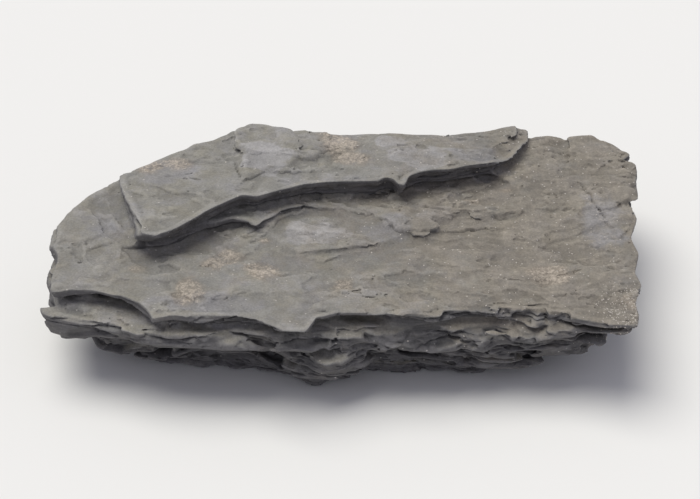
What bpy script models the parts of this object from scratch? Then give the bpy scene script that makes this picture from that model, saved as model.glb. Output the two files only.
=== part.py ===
"""Shale: one broken slab of thin, nearly flat beds, lying on its lowest bed.

Metres, +Z up. The origin is on the floor, under the middle of the slab's box. +X runs along the slab
and +Y towards its back edge. The stone is one piece, so the scene ends with one closed object.
"""

import math

import bmesh
import bpy
from mathutils import Matrix, Vector, noise

NAME = "shale_slab"
MM = 0.001  # the outlines, heights and profiles below are drawn in millimetres

# Driving dimensions.
SLAB_LENGTH = 161.0  # along X, over the whole stone
OUTLINE_STEP = 3.4  # length of one straight bit of a broken edge
LAP = 0.5  # how far a bed reaches into the one below it, so that the two join
SUNK = 2.0  # how far the lowest bed is drawn below the floor, before its flat underside is cut
VOXEL = 0.6  # size of the cubes that the beds are fused on, which rounds their edges a little
TRIANGLES = 9800  # about how many triangles the finished stone has
COLOUR = (0.275, 0.264, 0.249, 1.0)
ROUGHNESS = 0.86

# The edges of the beds, seen from above, counterclockwise from the front left corner.
BASE_EDGE = (
    (-56, -20), (-51, -29), (-43, -29), (-35, -30), (-25, -31), (-14, -33), (-8, -36), (-2, -35),
    (4, -36), (11, -36), (17, -33), (23, -32), (33, -33), (39, -31), (43, -27), (45, -14),
    (48, 0), (44, 14), (47, 25), (38, 31), (14, 33), (-8, 32), (-26, 30), (-40, 25), (-51, 14),
    (-57, 2), (-55, -10),
)
LOW_EDGE = (
    (-65, -20), (-62, -28), (-57, -32), (-50, -34), (-41, -33), (-36, -31), (-25, -33),
    (-17, -36), (-9, -40), (-1, -40.5), (6, -39), (10, -34), (16, -33), (24, -34), (34, -35),
    (44, -36), (52, -35), (57, -32), (61, -24), (62, -10), (65, 3), (61, 16), (63, 27), (54, 35),
    (36, 36), (14, 37), (-8, 36), (-28, 34), (-44, 28), (-57, 17), (-66, 4), (-67, -9),
)
MIDDLE_EDGE = (
    (-74, -20), (-70, -29), (-60, -32), (-50, -32.5), (-37, -31), (-25, -34), (-17, -37),
    (-11, -41), (-5, -44), (2, -43), (7, -40), (9, -34), (14, -33), (20, -35), (28, -38),
    (38, -39), (48, -37), (57, -36), (66, -35), (70, -28), (70, -14), (74, 0), (71, 14), (73, 27),
    (65, 37), (50, 38), (30, 39), (8, 38), (-12, 39), (-32, 36), (-48, 28), (-62, 18), (-71, 6),
    (-73, -7),
)
UPPER_EDGE = (
    (-77.5, -18), (-77, -25), (-75, -31), (-70, -34), (-60, -36.5), (-52, -39.5), (-48, -41.5),
    (-40, -42), (-30, -43), (-21, -44), (-14, -44.6), (-6, -44.6), (1, -43.5), (7, -42.5),
    (14, -42), (24, -40.5), (32, -38.5), (38, -39), (43, -41), (49, -40), (57, -38), (65, -38),
    (71, -39), (74, -37), (75.5, -30), (75.5, -21), (76, -10), (78.5, 2), (79, 14), (82, 25),
    (79.5, 35), (71, 43), (58, 43), (36, 41), (14, 40), (-8, 41), (-28, 38), (-44, 32), (-57, 21),
    (-67, 11), (-75, 3), (-77, -7),
)
RECESS_EDGE = (
    (-75, -20), (-72, -27), (-65, -27.5), (-59, -29), (-53, -29.5), (-50, -33), (-47, -36.5),
    (-41, -35.5), (-33, -36.5), (-24, -37), (-16, -40), (-12.5, -43), (-8, -42.5), (-6.5, -36.5),
    (2, -34), (9, -34), (14, -37.5), (21, -39.5), (25, -37.5), (31, -34.5), (40, -34), (48, -35.5),
    (57, -37.5), (66, -38.5), (73, -38.5), (74, -31), (75.5, -22), (75, -13), (76.5, -6), (78, 4),
    (79.5, 18), (81.5, 28), (79.5, 36), (71, 43.5), (52, 41.5), (32, 40.5), (12, 37.5), (-8, 39.5),
    (-28, 36), (-42, 30), (-57, 19), (-66, 10), (-72, 3), (-75.5, -5), (-76, -12),
)
MAIN_EDGE = (
    (-73, -28), (-65, -27), (-55, -31), (-51, -34), (-47, -40), (-41, -38.5), (-34, -40),
    (-24, -39.5), (-17, -42), (-13, -45), (-7.5, -44.5), (-5, -39), (0, -37), (6, -36.8),
    (12, -38.2), (17, -41.5), (21.5, -44.6), (25.5, -40), (30, -36.2), (39, -34.8), (47, -36),
    (56, -38.5), (66, -40), (74.5, -40.5), (76, -36), (75.5, -31), (78.2, -23.5), (77, -18),
    (79, -10), (78, -4), (80.5, 5), (81.5, 14), (82.5, 24), (84, 29.5), (81.2, 34), (82.8, 37),
    (79, 42), (74, 45.5), (68, 44.8), (60, 45.5), (50, 42), (32, 42), (12, 39),
    (-8, 41), (-28, 38), (-42, 31), (-57, 20), (-65, 11.5), (-71, 5.5), (-75.5, -3), (-75.5, -9),
    (-71.5, -13.5), (-72, -20),
)

# The beds, lowest first: edge, bottom, top, how far a weak bed has crumbled back, and its raggedness.
BEDS = (
    (BASE_EDGE, 0.0, 4.2, 0.0, 0.7),
    (LOW_EDGE, 4.2, 6.2, 3.0, 1.0),
    (LOW_EDGE, 6.2, 9.0, -1.0, 1.0),
    (MIDDLE_EDGE, 9.0, 11.2, 3.2, 1.0),
    (MIDDLE_EDGE, 11.2, 14.2, -0.8, 1.0),
    (UPPER_EDGE, 14.2, 16.2, 1.8, 1.0),
    (UPPER_EDGE, 16.2, 18.2, 0.8, 0.7),
    (UPPER_EDGE, 18.2, 20.6, 0.0, 0.5),
    (RECESS_EDGE, 20.6, 22.8, 0.0, 0.6),
    (MAIN_EDGE, 22.8, 25.0, 0.0, 0.35),
)

# What still lies on the main bed. Each sheet has its top at its middle, its thickness, how many
# degrees it dips and the compass angle that it dips towards, and its edge.
SHEETS = (
    (27.8, 8.0, 9, 255, (  # the ramp that rises from the front left corner to the cap's shoulder
        (-69.5, 6), (-74, -3.5), (-73.5, -12), (-70, -20), (-60, -22), (-52, -14), (-51, 0),
        (-52, 13), (-56.5, 18.5), (-62, 15.5), (-67, 10.5),
    )),
    (25.7, 2.4, 1.4, 225, (  # back right corner
        (34, 8), (46, 5), (54, 1), (61, 3), (67, 9), (74, 8), (79, 13), (81, 24), (80, 34),
        (72, 43), (60, 43), (44, 36), (34, 24),
    )),
    (26.9, 4.5, 6, 318, (  # the swell behind it, which the cap's right end runs down to
        (42, 24), (50, 14), (58, 10), (66, 14), (73, 22), (79, 28), (78, 36), (72, 43),
        (62, 44), (50, 41), (43, 36),
    )),
    (25.9, 2.4, 1.8, 100, (  # the lens-shaped sheet in the middle
        (-21, -1), (-16, -8), (-12.5, -12), (-10.5, -14), (-4, -12), (2, -10), (10, -8.5),
        (17, -4), (21, 4), (10, 14), (-12, 13),
    )),
    (27.1, 3.6, 1.3, 345, (  # the broad sheet that the cap stands on
        (-65, 5), (-62, -2), (-57, -8), (-51, -13), (-44, -10.5), (-38, -5), (-28, 1), (-24, 0),
        (-22, -2.5), (-18, 1), (-14.5, 5), (-9, 8), (-2, 7), (3, 3), (7, 0), (14, 0), (18, -4.5),
        (22, -5.5), (26, -4.5), (28, 3), (33, 6), (38, 4), (45, 4.5), (50, 8), (55, 16), (57, 26),
        (55, 37), (40, 38), (10, 36), (-20, 37), (-39, 31.5), (-54.5, 19.5), (-62.5, 11),
    )),
    (34.2, 4.5, 4, 245, (  # the knob on the cap
        (-30, 35), (-28, 23), (-26, 13), (-22, 15.5), (-19, 18), (-13.5, 17), (-10, 22), (-11, 31),
        (-13.5, 36), (-20, 38.5), (-25, 39), (-29, 37),
    )),
    (33.6, 3.5, 2, 300, (
        (-14, 20), (-9, 21.5), (-4, 25), (-1, 31), (-3, 36), (-8, 37.5), (-13, 34),
    )),
)
CAP_EDGE = (
    (-58.5, 9), (-56.5, 3), (-54, -4), (-51, -13.5), (-47, -14.5), (-42.5, -11), (-34.5, -3),
    (-25.5, 4.2), (-21.5, 3.5), (-17.5, 6), (-13, 8), (-9, 10.5), (0, 12.5), (11, 12.8), (13.5, 15),
    (15.5, 11.5), (18, 10), (19.5, 15.5), (23, 17.5), (30, 18.5), (36, 20.5), (41, 21.5),
    (45.5, 24), (48.5, 27), (51, 31.5), (54, 37), (54, 43.5), (44, 40.5), (30, 38), (15, 38),
    (0, 36.5), (-8, 38.5),
    (-20, 40), (-30, 40), (-36, 35), (-41, 33), (-44, 29), (-53.5, 21.5), (-59.5, 15.5),
)
CAP_BEDS = (  # bottom, top, crumbled back, and how far the left end is broken away
    (27.0, 29.2, 2.0, -3.0),
    (29.2, 30.6, 1.0, -1.2),
    (30.6, 32.6, 0.0, 0.0),
)

# Spoon-shaped spalls broken out of the stone: middle, half sizes, and a turn about Z in degrees.
SPALLS = (
    ((41, -47.5, 23.5), (19, 12, 6.5), 3),  # front, under the right half of the top edge
    ((-59, -42, 24), (13, 12.5, 4.2), -8),  # front left recess
    ((5, -46, 23), (12, 9.5, 3.2), 0),  # recess right of the front block
    ((83, -18, 17), (7, 9, 6), 0),  # right end
    ((84, 12, 12), (8, 14, 5), 12),
    ((-83, -2, 12), (9, 13, 5), 10),  # left end
    ((-79, -13, 25), (7.5, 4.5, 6), -20),  # notch in the left edge of the main bed
    ((50, 27, 33.6), (7.5, 8.5, 3.2), -15),  # the cap's right end, where only its lower sheet is left
    ((20, 52, 15), (30, 11, 6), 0),  # back edge
    ((-38, 47, 20), (17, 12, 5), -30),
)

# Slanting breaks: a point on the break, how many degrees it dips, the compass angle that it dips
# towards, and the box that it cuts away: along the dip, across it, and upwards.
BREAKS = (
    ((56.5, 32, 28.8), 21, -8, (16, 60, 20)),  # the cap's right end, down to the main bed
    ((-10, -42.6, 17.6), 50, -93, (7, 38, 12)),  # front left, a slope under the main bed's edge
)

# The beds are gently folded, and the lowest one stays flat where it lies on the floor.
FOLD_HEIGHT = 2.2
FOLD_LENGTH = 52.0
RIPPLE_HEIGHT = 0.7
RIPPLE_LENGTH = 22.0
SNAP = 0.3  # a point of the underside this near to the floor is put on it
FLAT_BELOW = 3.0
FOLDED_ABOVE = 14.0


def clear_scene():
    for old in list(bpy.data.objects):
        bpy.data.objects.remove(old)


def jag(x, y, seed):
    """Broken-edge noise: long bites with small teeth on them, in millimetres."""
    long_bite = noise.noise(Vector((x / 19, y / 19, seed * 3.7)))
    tooth = noise.noise(Vector((x / 5.5, y / 5.5, seed * 5.1 + 40)))
    return 2.0 * long_bite + 1.1 * tooth


def walked(edge, step=OUTLINE_STEP):
    """Points at even steps along a closed outline."""
    points = []
    for (ax, ay), (bx, by) in zip(edge, edge[1:] + edge[:1]):
        count = max(1, round(math.hypot(bx - ax, by - ay) / step))
        points += [(ax + (bx - ax) * i / count, ay + (by - ay) * i / count) for i in range(count)]
    return points


def bed_edge(edge, crumbled, ragged, seed):
    """A bed's edge, moved towards or away from the slab's middle so that it can't cross itself."""
    points = []
    for x, y in walked(edge):
        out = Vector((x, y)).normalized()
        uneven = 0.9 + 1.4 * noise.noise(Vector((x / 27, y / 27, seed + 0.5)))
        move = ragged * jag(x, y, seed) - crumbled * max(uneven, 0.0)
        points.append((x + out.x * move, y + out.y * move))
    return points


def sheet_edge(edge, seed, crumbled=0.0, left_shift=0.0):
    """A sheet's edge with a little tooth, drawn in all round, and its left end moved along X."""
    line = walked(edge)
    points = []
    for i, (x, y) in enumerate(line):
        ahead = Vector(line[(i + 1) % len(line)]) - Vector(line[i - 1])
        out = Vector((ahead.y, -ahead.x)).normalized()
        move = 0.4 * jag(x, y, seed) - crumbled
        left = left_shift if x < edge[0][0] + 14 else 0.0
        points.append((x + out.x * move + left, y + out.y * move))
    return points


def slab_of(name, edge, bottom, top):
    """A bed: a flat closed curve, filled and extruded to its thickness, made a closed mesh."""
    curve = bpy.data.curves.new(name, "CURVE")
    curve.dimensions = "2D"
    curve.fill_mode = "BOTH"
    curve.extrude = (top - bottom) / 2 * MM
    spline = curve.splines.new("POLY")
    spline.points.add(len(edge) - 1)
    for point, (x, y) in zip(spline.points, edge):
        point.co = (x * MM, y * MM, 0, 1)
    spline.use_cyclic_u = True
    drawn = bpy.data.objects.new(name, curve)
    drawn.location.z = (top + bottom) / 2 * MM
    bpy.context.scene.collection.objects.link(drawn)
    return as_mesh(drawn, merge=0.00001)


def as_mesh(shape, merge=0.0):
    """The shape as it evaluates, as a plain mesh object in world space."""
    bpy.context.view_layer.update()
    evaluated = shape.evaluated_get(bpy.context.evaluated_depsgraph_get())
    mesh = bpy.data.meshes.new_from_object(evaluated)
    mesh.transform(shape.matrix_world)
    made = bpy.data.objects.new(shape.name + "_mesh", mesh)
    bpy.context.scene.collection.objects.link(made)
    bpy.data.objects.remove(shape)
    if merge:
        work = bmesh.new()
        work.from_mesh(mesh)
        bmesh.ops.remove_doubles(work, verts=work.verts, dist=merge)
        bmesh.ops.recalc_face_normals(work, faces=work.faces)
        work.to_mesh(mesh)
        work.free()
    return made


def slant_walls(bed, bottom, seed):
    """Moves the bed's lower rim in or out, so that its broken face isn't a plain upright wall."""
    for vertex in bed.data.vertices:
        if vertex.co.z < (bottom + 0.1) * MM:
            out = Vector((vertex.co.x, vertex.co.y)).normalized()
            x, y = vertex.co.x / MM, vertex.co.y / MM
            lean = 1.3 * noise.noise(Vector((x / 8, y / 8, seed + 77))) - 0.35
            vertex.co.x += out.x * lean * MM
            vertex.co.y += out.y * lean * MM


def stacked_beds():
    beds = []
    for seed, (edge, bottom, top, crumbled, ragged) in enumerate(BEDS):
        low = bottom - (LAP if bottom else SUNK)
        bed = slab_of(f"bed_{seed}", bed_edge(edge, crumbled, ragged, seed), low, top)
        slant_walls(bed, low, seed)
        beds.append(bed)
    return beds


def tilted(sheet, edge, top, dip, towards):
    """Tilts a sheet about the middle of its top."""
    middle = Vector((sum(x for x, _ in edge), sum(y for _, y in edge), 0)) / len(edge)
    middle.z = top
    pivot = Matrix.Translation(middle * MM)
    turn = Matrix.Rotation(math.radians(towards), 4, "Z")
    lean = Matrix.Rotation(math.radians(dip), 4, "Y")
    sheet.data.transform(pivot @ turn @ lean @ turn.inverted() @ pivot.inverted())
    return sheet


def top_sheets():
    sheets = []
    for seed, (top, thickness, dip, towards, edge) in enumerate(SHEETS, 31):
        sheet = slab_of(f"sheet_{seed}", sheet_edge(edge, seed), top - thickness, top)
        sheets.append(tilted(sheet, edge, top, dip, towards))
    for seed, (bottom, top, crumbled, left) in enumerate(CAP_BEDS, 41):
        edge = sheet_edge(CAP_EDGE, seed, crumbled, left)
        sheets.append(slab_of(f"cap_{seed}", edge, bottom - LAP, top))
    return sheets


def spall_cutters():
    cutters = []
    for middle, halves, turn in SPALLS:
        bpy.ops.mesh.primitive_ico_sphere_add(subdivisions=3, radius=1)
        cutter = bpy.context.object
        cutter.matrix_world = (
            Matrix.Translation(Vector(middle) * MM)
            @ Matrix.Rotation(math.radians(turn), 4, "Z")
            @ Matrix.Diagonal(Vector(halves) * MM).to_4x4()
        )
        cutters.append(cutter)
    return cutters


def break_cutters():
    cutters = []
    for point, dip, towards, size in BREAKS:
        bpy.ops.mesh.primitive_cube_add(size=MM)
        cutter = bpy.context.object
        cutter.matrix_world = (
            Matrix.Translation(Vector(point) * MM)
            @ Matrix.Rotation(math.radians(towards), 4, "Z")
            @ Matrix.Rotation(math.radians(dip), 4, "Y")
            @ Matrix.Translation((0, 0, size[2] / 2 * MM))
            @ Matrix.Diagonal((*size, 1))
        )
        cutters.append(cutter)
    return cutters


def floor_cutter():
    """A block under the floor, which leaves the lowest bed a level underside."""
    bpy.ops.mesh.primitive_cube_add(size=MM)
    cutter = bpy.context.object
    cutter.matrix_world = Matrix.Translation((0, 0, -20 * MM)) @ Matrix.Diagonal((200, 120, 40, 1))
    return cutter


def joined(pieces):
    """The pieces' meshes in one object, still overlapping."""
    skin = bmesh.new()
    for piece in pieces:
        skin.from_mesh(piece.data)
        bpy.data.objects.remove(piece)
    mesh = bpy.data.meshes.new("joined")
    skin.to_mesh(mesh)
    skin.free()
    body = bpy.data.objects.new("joined", mesh)
    bpy.context.scene.collection.objects.link(body)
    return body


def fused(body):
    """One closed skin of all that the body fills, remade on a grid of small cubes."""
    remesh = body.modifiers.new("Fuse", "REMESH")
    remesh.mode = "VOXEL"
    remesh.voxel_size = VOXEL * MM
    return as_mesh(body)


def cut(body, cutters):
    for cutter in cutters:
        boolean = body.modifiers.new("Break", "BOOLEAN")
        boolean.operation = "DIFFERENCE"
        boolean.object = cutter
    made = as_mesh(body)
    for cutter in cutters:
        bpy.data.objects.remove(cutter)
    return made


def thinned(body):
    """The same skin in about TRIANGLES triangles, with the small ones kept along the ledges."""
    body.data.calc_loop_triangles()
    decimate = body.modifiers.new("Facets", "DECIMATE")
    decimate.ratio = TRIANGLES / len(body.data.loop_triangles)
    decimate.use_collapse_triangulate = True
    return as_mesh(body)


def folded_height(x, y, z):
    """The height of a point once the beds are folded, all in millimetres."""
    fold = noise.noise(Vector((x / FOLD_LENGTH, y / FOLD_LENGTH, 2.4)))
    ripple = noise.noise(Vector((x / RIPPLE_LENGTH, y / RIPPLE_LENGTH, 9.1 + z / 30)))
    share = min(1.0, max(0.0, (z - FLAT_BELOW) / (FOLDED_ABOVE - FLAT_BELOW)))
    return z + share * (FOLD_HEIGHT * fold + RIPPLE_HEIGHT * ripple)


def fold_beds(slab):
    for vertex in slab.data.vertices:
        vertex.co.z = folded_height(*(vertex.co / MM)) * MM


def flatten_base(slab):
    """Puts the cut underside's points exactly level, so that the slab rests on one flat face."""
    for vertex in slab.data.vertices:
        if vertex.co.z < SNAP * MM:
            vertex.co.z = 0.0


def set_down(slab):
    """Scales the slab to its length and puts the middle of its box over the origin, on the floor."""
    xs = [v.co.x for v in slab.data.vertices]
    ys = [v.co.y for v in slab.data.vertices]
    zs = [v.co.z for v in slab.data.vertices]
    grown = SLAB_LENGTH * MM / (max(xs) - min(xs))
    middle = Vector(((max(xs) + min(xs)) / 2, (max(ys) + min(ys)) / 2, min(zs)))
    slab.data.transform(Matrix.Scale(grown, 4) @ Matrix.Translation(-middle))


def stone_material():
    material = bpy.data.materials.new("shale")
    material.use_nodes = True
    shader = material.node_tree.nodes["Principled BSDF"]
    shader.inputs["Base Color"].default_value = COLOUR
    shader.inputs["Roughness"].default_value = ROUGHNESS
    shader.inputs["Metallic"].default_value = 0.0
    return material


def main():
    clear_scene()
    slab = fused(joined(stacked_beds() + top_sheets()))
    slab = fused(cut(slab, spall_cutters() + break_cutters() + [floor_cutter()]))
    fold_beds(slab)
    slab = thinned(slab)
    flatten_base(slab)
    set_down(slab)
    slab.name = NAME
    slab.data.name = NAME
    slab.data.materials.append(stone_material())
    home = bpy.data.collections.new("shale")
    bpy.context.scene.collection.children.link(home)
    bpy.context.scene.collection.objects.unlink(slab)
    home.objects.link(slab)


main()
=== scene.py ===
"""A broken slab of shale, dressed over its solid: laminae, scars, cracks, chips and colours."""

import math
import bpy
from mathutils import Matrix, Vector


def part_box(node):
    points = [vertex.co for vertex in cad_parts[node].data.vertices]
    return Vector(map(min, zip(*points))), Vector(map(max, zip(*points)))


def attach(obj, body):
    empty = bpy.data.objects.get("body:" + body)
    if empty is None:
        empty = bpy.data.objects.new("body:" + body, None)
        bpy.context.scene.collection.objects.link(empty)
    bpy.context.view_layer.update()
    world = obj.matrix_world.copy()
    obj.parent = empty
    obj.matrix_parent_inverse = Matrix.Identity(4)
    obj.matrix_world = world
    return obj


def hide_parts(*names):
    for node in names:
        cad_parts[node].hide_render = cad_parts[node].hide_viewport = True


bl_info = {
    "name": "Shale slab",
    "version": (1, 0, 0),
    "blender": (4, 5, 0),
    "location": "3D View > Sidebar > Shale",
    "description": "Carves laminae into a slab of shale, scatters chips and grains, and lights it",
    "category": "Add Mesh",
}

import bmesh
import bpy
import numpy as np
import openvdb
from bpy.props import FloatProperty, FloatVectorProperty, IntProperty, PointerProperty
from bpy.types import Operator, Panel, PropertyGroup
from mathutils import Vector, noise

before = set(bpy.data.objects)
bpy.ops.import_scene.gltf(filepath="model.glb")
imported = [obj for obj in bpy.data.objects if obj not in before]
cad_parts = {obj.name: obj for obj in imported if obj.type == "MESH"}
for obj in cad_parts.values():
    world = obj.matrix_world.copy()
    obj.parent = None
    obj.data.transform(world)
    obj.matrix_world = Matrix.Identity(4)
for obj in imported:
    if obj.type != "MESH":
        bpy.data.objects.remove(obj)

NODE = "shale_slab"
BODY = "root"
MM = 0.001
CM = 0.01
LOW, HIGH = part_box(NODE)

# All tables are in millimetres, and seen from above where they give two coordinates.

# The beds' gentle folds, as in the solid: height and length of the folds and of the ripples on
# them, and the heights between which they set in.
FOLD = (2.2, 52.0)
RIPPLE = (0.7, 22.0)
FLAT_BELOW = 3.0
FOLDED_ABOVE = 14.0

# Cracks in the top: depth, half width, and the points they follow.
CRACKS = (
    (0.9, 0.35, ((7.5, -4), (12.5, -5), (18.5, -4.5))),
    (0.6, 0.3, ((3, -12), (9, -13.5), (14, -14))),
    (0.7, 0.3, ((-32.8, 27), (-30.8, 21), (-29.5, 12))),
    (0.5, 0.3, ((-14, 26.4), (-10.5, 25.4), (-7, 25.4), (-1.3, 29))),
    (0.7, 0.3, ((62.6, 20), (66, 15), (67.6, 4.2), (70.5, 1.8))),
    (0.5, 0.25, ((37, -20), (45, -22), (51, -20))),
    (0.5, 0.25, ((-25, -18), (-17, -21), (-12, -20))),
)

# Edges of thin sheets: drop, how far it fades, points. The ground on the right of each line's
# course lies lower.
SHEET_EDGES = (
    (1.2, 6.0, ((-22, 0), (-18, 4.2), (-11.3, 7.6), (-2.7, 8), (6, 4.2), (11.3, 0))),
    (0.8, 5.0, ((5.5, 5.8), (9.5, 2.5), (13.4, -2.2), (22, -2.7), (26.8, -0.3), (35, 0.6))),
    (0.6, 6.0, ((20, 9.5), (26.4, 8), (35.3, 6.6), (40.6, 4.6), (46.2, 7.5), (53.3, 10))),
    (0.6, 7.0, ((-49.7, 7.5), (-44, 5), (-39.3, 0.3), (-36.5, -1.6))),
    (1.1, 4.0, ((-26.6, 12.9), (-25, 15), (-22, 17.9), (-19, 16.9), (-14.4, 16.4), (-9, 18.5))),
    (0.9, 6.0, ((-58.7, -12.2), (-61.7, -9), (-65.4, -4.4), (-68, 0.7), (-70, 6))),
    (0.8, 5.0, ((-58.5, -9), (-60.3, -4.4), (-63.4, 1.2), (-66, 6.5))),
    (0.7, 4.0, ((-45, -23.7), (-40.6, -30), (-35.7, -38.3))),
    (0.7, 5.0, ((73.8, 32.3), (68.2, 32.8), (63.5, 36.5), (58, 38))),
    (0.6, 5.0, ((24.7, 12), (29, 16.8), (39, 20.9))),
    (0.5, 6.0, ((44, -3), (52, -6), (60, -5), (68, -9))),
    (0.4, 5.0, ((20, -24), (30, -27), (42, -25), (50, -28))),
    (1.1, 5.0, ((-14, -13.5), (-12.5, -14.5), (-5, -12), (3, -10), (9, -8.2), (15, -5), (24, -4))),
)

# Hollows broken out of the edges: middle, half sizes along, in and up, turn in degrees.
SPALLS = (
    ((-63, -29.5, 23.0), (10.0, 3.8, 1.4), 4),
    ((-40, -40.5, 22.4), (12, 2.8, 1.3), 0),
    ((-22, -41.5, 22.4), (9, 2.8, 1.2), -8),
    ((-36, -36.0, 9.5), (18, 6.0, 3.0), -4),
    ((-80, -24.0, 17.5), (4, 2.5, 2.5), 100),
    ((79, -21.0, 21.5), (4, 2.5, 1.6), 95),
    ((80.5, -5.0, 20.0), (5, 2.5, 1.6), 88),
    ((-56.5, -13.5, 27.5), (3.0, 2.2, 0.9), 30),
    ((60.5, -40.5, 21.2), (7.5, 3.0, 0.9), -3),
    ((-80, -17.5, 22.5), (4, 2.5, 1.8), 100),
)

# Flat breaks across the edges: a point on the break, how far it reaches along and up, and which
# way it faces as degrees round from +X and degrees up.
FLAT_BREAKS = (
    ((15, -37.6, 23.0), (12, 8), -92, 26),
    ((36, -35.8, 22.4), (13, 6), -85, 40),
    ((54, -37.6, 22.2), (12, 6), -104, 35),
    ((-39, -40.6, 19.2), (18, 6), -90, 22),
    ((-12, -43.2, 18.0), (13, 4), -87, 42),
    ((5, -42.6, 17.5), (9, 4), -99, 30),
    ((27, -39.4, 16.0), (12, 4), -84, 24),
    ((44, -39.4, 15.0), (10, 4), -97, 14),
    ((-67, -35.0, 19.0), (9, 3), -104, 20),
    ((16, -41.0, 15.0), (8, 3.5), -80, -10),
    ((-78.5, -8, 20), (9, 5), 174, 24),
    ((-77.5, -22, 18), (8, 5), 200, 12),
    ((78.6, 12, 19), (10, 6), 8, 16),
    ((78.4, -14, 20), (8, 6), -12, -6),
    ((68, -38, 17.4), (13, 8), -20, -58),
    ((46, -35.4, 22.3), (9, 6), -95, 38),
)

# Lens-shaped flakes that lie in the recess at the front, given as the hollows are.
FLAKES = (
    ((7, -38.4, 11.6), (11, 4.6, 2.0), -5),
    ((19, -37.4, 12.6), (10, 4.6, 2.2), 6),
    ((31, -37.0, 10.2), (9, 3.8, 1.8), -4),
    ((11, -36.8, 5.0), (11, 4.6, 4.2), 0),
)

# Small facets on the broken edges: size, and how far they stand in and out.
FACETS = (((7, 7, 2.4), 1.3), ((2.8, 2.8, 1.0), 0.5))

# Scars that flakes leave on the top: length, and how high the noise rises before one shows.
SCARS = ((26, 0.30), (17, 0.40), (11, 0.55), (7, 0.7), (4.5, 0.8), (3, 0.85))

# How far the left end, the right end and the back right corner are let out, and where along X,
# or along X and Y together, that sets in and is full.
LEFT_GROWTH, RIGHT_GROWTH, CORNER_GROWTH = 1.1, 0.4, 0.9
END_RANGE = (62, 76)
CORNER_RANGE = (62, 100)
LEFT_TRIM = 1.3

# Random breaks in the edges: lowest, highest, and the largest one's half length.
BREAK_LOW, BREAK_HIGH, BREAK_LARGEST = 1.5, 17.0, 9.0

# The middle of the crumbly corner, and the height of the cap's underside and top.
CRUMBLY = (73, -33)
CAP_HEIGHTS = (25.5, 27.5)

# Stains, pale skins and bluish skins on the top: middle, half length, half width.
OCHRE_STAINS = (
    ((-36, -15.8), 6, 5),
    ((-32.5, -11), 5, 4),
    ((-41, -27.5), 4.5, 6),
    ((-22.7, -20), 6, 5),
    ((-22.6, -5), 2.2, 1.6),
    ((-55.7, -18.5), 4.5, 4),
    ((-54.9, 19.2), 5, 4),
    ((-46.8, 21.3), 5.5, 4.5),
    ((-1.3, -25.8), 5.5, 5),
    ((-2.7, 31.5), 8, 6),
    ((0.5, 24), 6, 4),
    ((34.5, 12.5), 4.5, 2.5),
    ((43, 18), 4, 2.2),
    ((52, -18), 7, 4),
    ((27, -40), 5, 5),
    ((73, -32), 8, 6),
)
PALE_PATCHES = (
    ((-22, 26), 9.5, 9),
    ((-5.5, -1), 14, 7),
    ((22.5, 5), 6, 6),
    ((20.5, 25), 10, 8),
    ((12, 33), 8, 4),
)
COOL_PATCHES = (
    ((67, 4), 8, 15),
    ((-50, 17), 13, 9),
    ((-64, 0), 9, 13),
    ((8, 0), 15, 8),
    ((36, 26), 13, 6),
    ((-35, -33), 16, 5),
)

# The stage, in metres. The camera's shift is in pixels of a picture this wide.
LIGHT_FROM = (-0.30, 0.26, 1.0)
LAMP_COLOUR = (1.0, 0.986, 0.932)
SKY_COLOUR = (0.88, 0.885, 1.04, 1)
VIEW_CENTRE = (-0.0013, 0.0, 0.014)
VIEW_SHIFT = (5, 12.5)
PICTURE_WIDTH = 700
FLOOR_SIZE = 8


# ---- Settings ----


def number(name, description, default, **limits):
    return FloatProperty(name=name, description=description, default=default, **limits)


def whole_number(name, description, default):
    return IntProperty(name=name, description=description, default=default)


def paint(name, what, default):
    return FloatVectorProperty(
        name=name, description="Colour of " + what, default=default, subtype="COLOR", size=3)


class StoneSettings(PropertyGroup):
    cell: number(
        "Cell", "Width of the cells that the stone is carved on, in millimetres", 0.45, min=0.3)
    stretch: number(
        "Stretch", "How much finer the cells are upwards than along the beds", 2.0, min=1.0)
    bed: number("Bed", "Mean thickness of one bed, in millimetres", 3.1)
    lamina: number("Lamina", "Mean thickness of one lamina, in millimetres", 0.85)
    relief: number(
        "Relief", "How far the beds stand in and out of a broken edge, in millimetres", 1.7)
    undercut: number(
        "Undercut", "How far a bed's top is tucked in under the next, in millimetres", 2.3)
    spalls: whole_number("Spalls", "How many small spalls are broken out of the edges", 150)
    grit: number("Grit", "Roughness of a broken edge, in millimetres", 0.08)
    lip: number("Lip", "Thickness of the thin lip under a top edge, in millimetres", 2.0)
    flaking: number(
        "Flaking", "Depth of the scars that flakes leave on the top, in millimetres", 0.55)
    triangles: whole_number("Triangles", "How many triangles the carved stone keeps", 197000)
    seed: whole_number("Seed", "Seed of everything random in the stone", 11)


class ColourSettings(PropertyGroup):
    stone: paint("Stone", "a clean bedding plane", (0.249, 0.242, 0.220))
    # Fresh breaks are darker than the skin, but this colour on the steep and downward walls is also
    # darkened as painted shade.
    fresh_break_and_shade: paint("Fresh break", "the dark broken edges", (0.118, 0.114, 0.114))
    olive: paint("Olive skin", "the greenish brown skin", (0.226, 0.210, 0.166))
    slate: paint("Slate skin", "the bluish grey skin", (0.252, 0.246, 0.250))
    pale: paint("Pale skin", "the palest smooth skin", (0.345, 0.335, 0.328))
    dust: paint("Dust", "the brown dust", (0.210, 0.182, 0.142))
    ochre: paint("Ochre", "the ochre stains", (0.430, 0.375, 0.305))
    rust: paint("Rust", "the brown ground of a stain", (0.236, 0.196, 0.152))
    dark: paint("Dark specks", "the pits and dark specks", (0.070, 0.066, 0.062))
    grain: paint("Grain", "the pale mineral grains", (0.60, 0.57, 0.52))


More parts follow.
